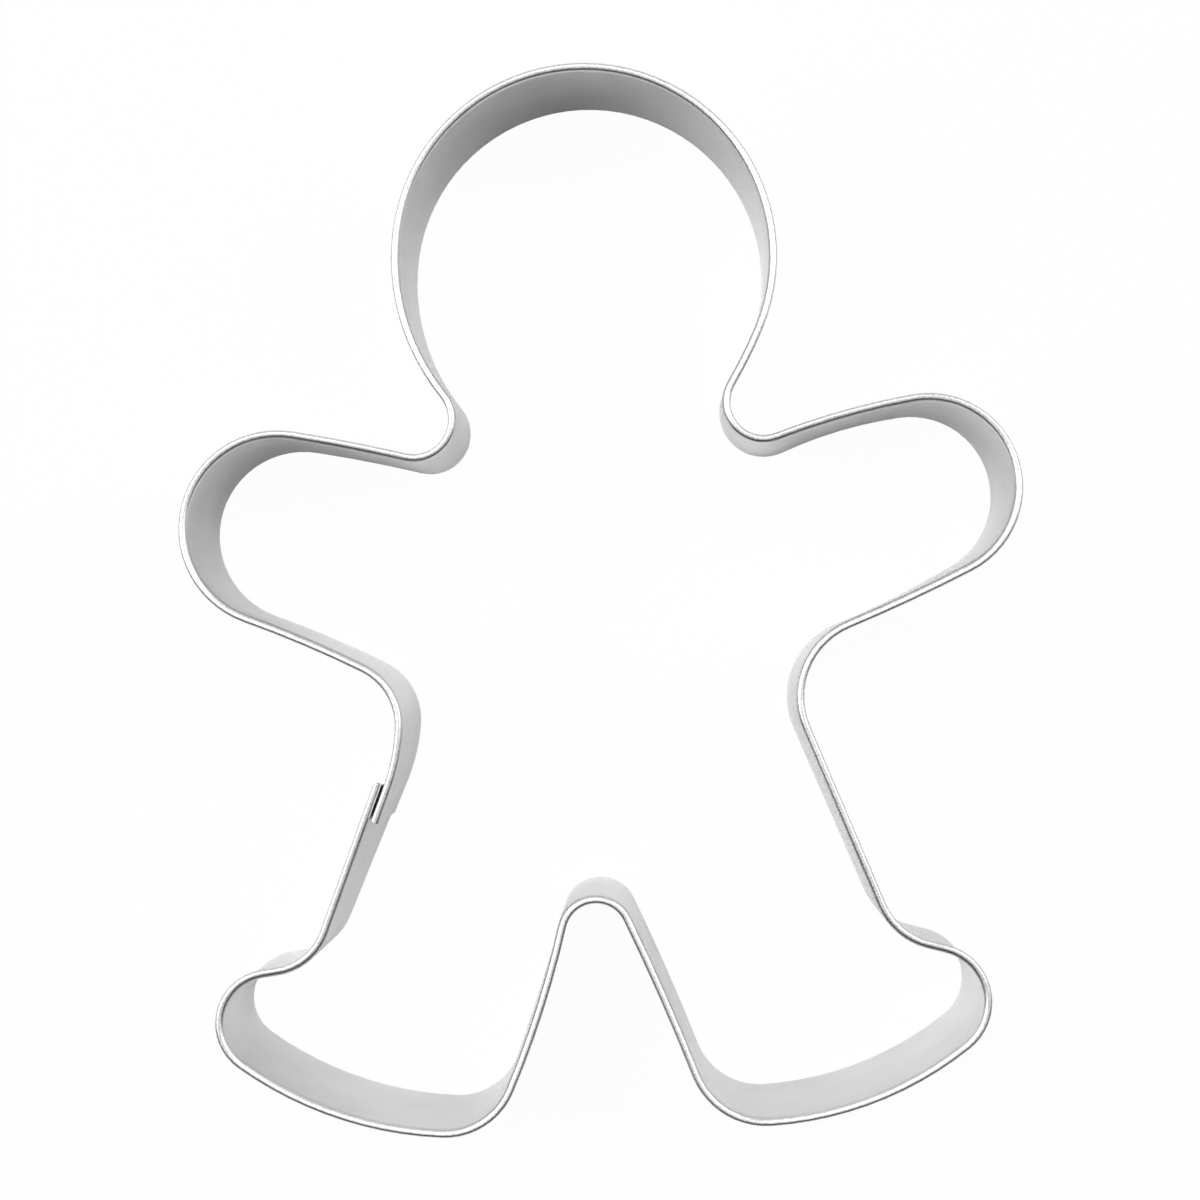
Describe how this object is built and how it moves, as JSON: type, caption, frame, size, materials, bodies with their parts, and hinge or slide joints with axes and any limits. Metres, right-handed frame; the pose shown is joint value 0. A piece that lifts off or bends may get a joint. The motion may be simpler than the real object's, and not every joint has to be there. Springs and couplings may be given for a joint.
{
  "type": "cookie cutter",
  "caption": "Gingerbread figure cookie cutter of bent sheet steel with a rolled rim, a plain cutting edge and a welded lap seam.",
  "frame": {"origin": "middle of the outline, in the plane of the cutting edge, which rests on z = 0", "axes": "+Y towards the figure's head, +X towards the viewer's right when the rolled rim is up, +Z from the cutting edge to the rolled rim"},
  "size_m": [0.11, 0.14, 0.025],
  "materials": {
    "tinned_steel": "satin, thin cold-rolled sheet",
    "weld_metal": "resolidified weld metal"
  },
  "bodies": {
    "root": {"cutter_band": "tinned_steel", "spot_welds": "weld_metal"}
  },
  "joints": []
}
